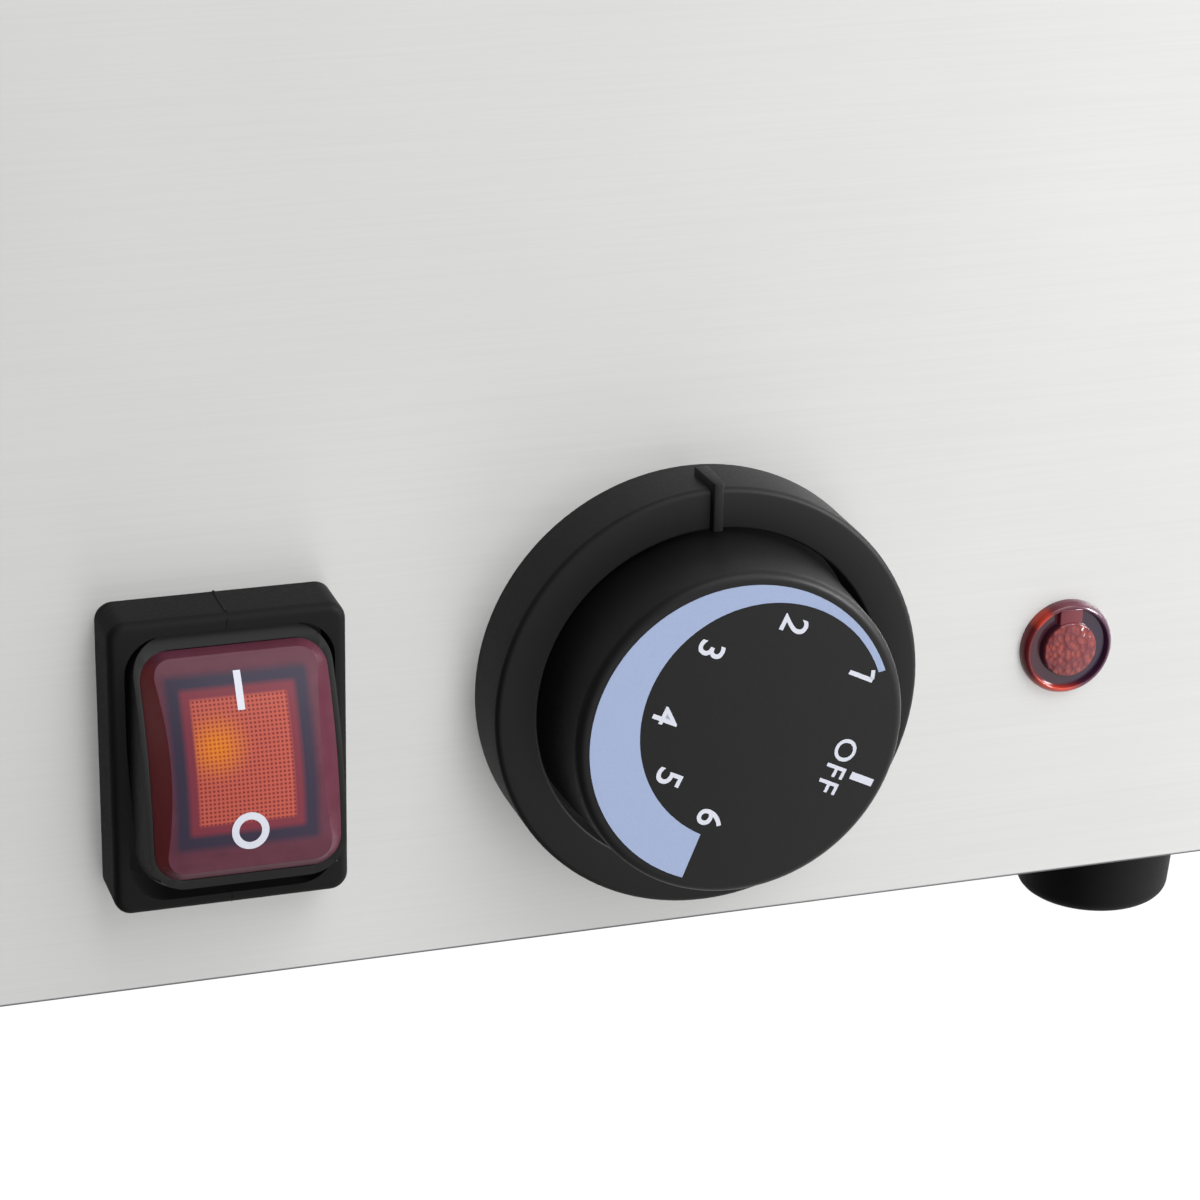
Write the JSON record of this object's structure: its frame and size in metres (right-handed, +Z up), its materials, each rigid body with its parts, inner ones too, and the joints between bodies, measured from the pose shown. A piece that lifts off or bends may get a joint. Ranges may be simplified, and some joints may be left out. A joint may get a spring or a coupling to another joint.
{
  "type": "electric bain-marie",
  "caption": "Countertop wet-well food warmer with a brushed steel casing, thermostat dial, lit rocker switch, lamp, drain tap, lift-out pan and folding lid.",
  "frame": {"origin": "bottom centre of the whole outline, on the surface the feet stand on", "axes": "+Z up, the control panel faces -Y, +X to the right seen from the front"},
  "size_m": [0.3404, 0.6596, 0.2918],
  "materials": {
    "outer_casing": "fine horizontal brushing",
    "rear_panel": "fine horizontal brushing",
    "base_plate": "plated",
    "top_deck": "fine horizontal brushing",
    "water_tank": "polished",
    "rear_screws": "plated",
    "base_screws": "plated",
    "foot_fl": "satin",
    "foot_fr": "satin",
    "foot_rl": "satin",
    "foot_rr": "satin",
    "foot_screws": "plated",
    "foot_nuts": "plated",
    "dial_ring": "satin",
    "knob": "satin",
    "thermostat_shaft": "plated",
    "thermostat_body": "satin",
    "thermostat_screws": "plated",
    "thermostat_tabs": "plain",
    "capillary_bulb": "copper tone",
    "bulb_clips": "polished",
    "switch_boot": "satin",
    "switch_housing": "satin",
    "rocker_pin": "plated",
    "switch_rocker": "satin",
    "switch_lens": "clear red",
    "switch_diffuser": "amber grid",
    "switch_tabs": "plain",
    "lamp_lens": "clear red",
    "lamp_body": "satin",
    "lamp_nut": "satin",
    "heating_element": "heat tinted",
    "element_glands": "plain",
    "element_seals": "matt",
    "element_nuts": "plain",
    "element_supports": "polished",
    "thermal_cutout": "ceramic",
    "terminal_block": "ceramic",
    "cord_gland": "satin",
    "gland_nut": "satin",
    "drain_pipe": "polished",
    "tap_seal": "satin",
    "tap_body": "plated",
    "tap_spout": "plated",
    "tap_nut": "plated",
    "tap_stem": "plated",
    "tap_lever": "dipped vinyl",
    "lever_nut": "plated",
    "food_pan": "polished",
    "lid_rear": "polished",
    "lid_front": "polished",
    "hinge_pin": "polished",
    "handle_front": "polished",
    "handle_rear": "polished",
    "screws_front": "plated",
    "screws_rear": "plated"
  },
  "bodies": {
    "base": {"outer_casing": "outer_casing", "rear_panel": "rear_panel", "base_plate": "base_plate", "top_deck": "top_deck", "water_tank": "water_tank", "rear_screws": "rear_screws", "base_screws": "base_screws", "foot_fl": "foot_fl", "foot_fr": "foot_fr", "foot_rl": "foot_rl", "foot_rr": "foot_rr", "foot_screws": "foot_screws", "foot_nuts": "foot_nuts", "dial_ring": "dial_ring", "thermostat_body": "thermostat_body", "thermostat_screws": "thermostat_screws", "thermostat_tabs": "thermostat_tabs", "capillary_bulb": "capillary_bulb", "bulb_clips": "bulb_clips", "switch_boot": "switch_boot", "switch_housing": "switch_housing", "rocker_pin": "rocker_pin", "switch_tabs": "switch_tabs", "lamp_lens": "lamp_lens", "lamp_body": "lamp_body", "lamp_nut": "lamp_nut", "heating_element": "heating_element", "element_glands": "element_glands", "element_seals": "element_seals", "element_nuts": "element_nuts", "element_supports": "element_supports", "thermal_cutout": "thermal_cutout", "terminal_block": "terminal_block", "cord_gland": "cord_gland", "gland_nut": "gland_nut", "drain_pipe": "drain_pipe", "tap_seal": "tap_seal", "tap_body": "tap_body", "tap_spout": "tap_spout", "tap_nut": "tap_nut"},
    "knob_body": {"knob": "knob", "thermostat_shaft": "thermostat_shaft"},
    "rocker_body": {"switch_rocker": "switch_rocker", "switch_lens": "switch_lens", "switch_diffuser": "switch_diffuser"},
    "lever_body": {"tap_stem": "tap_stem", "tap_lever": "tap_lever", "lever_nut": "lever_nut"},
    "pan_body": {"food_pan": "food_pan"},
    "lid_rear_body": {"lid_rear": "lid_rear", "hinge_pin": "hinge_pin", "handle_rear": "handle_rear", "screws_rear": "screws_rear"},
    "lid_front_body": {"lid_front": "lid_front", "handle_front": "handle_front", "screws_front": "screws_front"}
  },
  "joints": [
    {"name": "knob_turn", "type": "hinge", "parent": "base", "child": "knob_body", "pos_m": [0.066, -0.28025, 0.0519], "axis": [0, -1, 0], "range_deg": [-160, 116]},
    {"name": "rocker_tilt", "type": "hinge", "parent": "base", "child": "rocker_body", "pos_m": [0.0008, -0.28425, 0.0499], "axis": [1, 0, 0], "range_deg": [0, 34]},
    {"name": "tap_turn", "type": "hinge", "parent": "base", "child": "lever_body", "pos_m": [-0.104, -0.30125, 0.0625], "axis": [0, 0, 1], "range_deg": [0, 90]},
    {"name": "pan_lift", "type": "slide", "parent": "base", "child": "pan_body", "axis": [0, 0, 1], "range_m": [0, 0.2]},
    {"name": "lid_lift", "type": "slide", "parent": "pan_body", "child": "lid_rear_body", "axis": [0, 0, 1], "range_m": [0, 0.12]},
    {"name": "lid_fold", "type": "hinge", "parent": "lid_rear_body", "child": "lid_front_body", "pos_m": [0, 0.03125, 0.2563], "axis": [-1, 0, 0], "range_deg": [0, 150]}
  ]
}
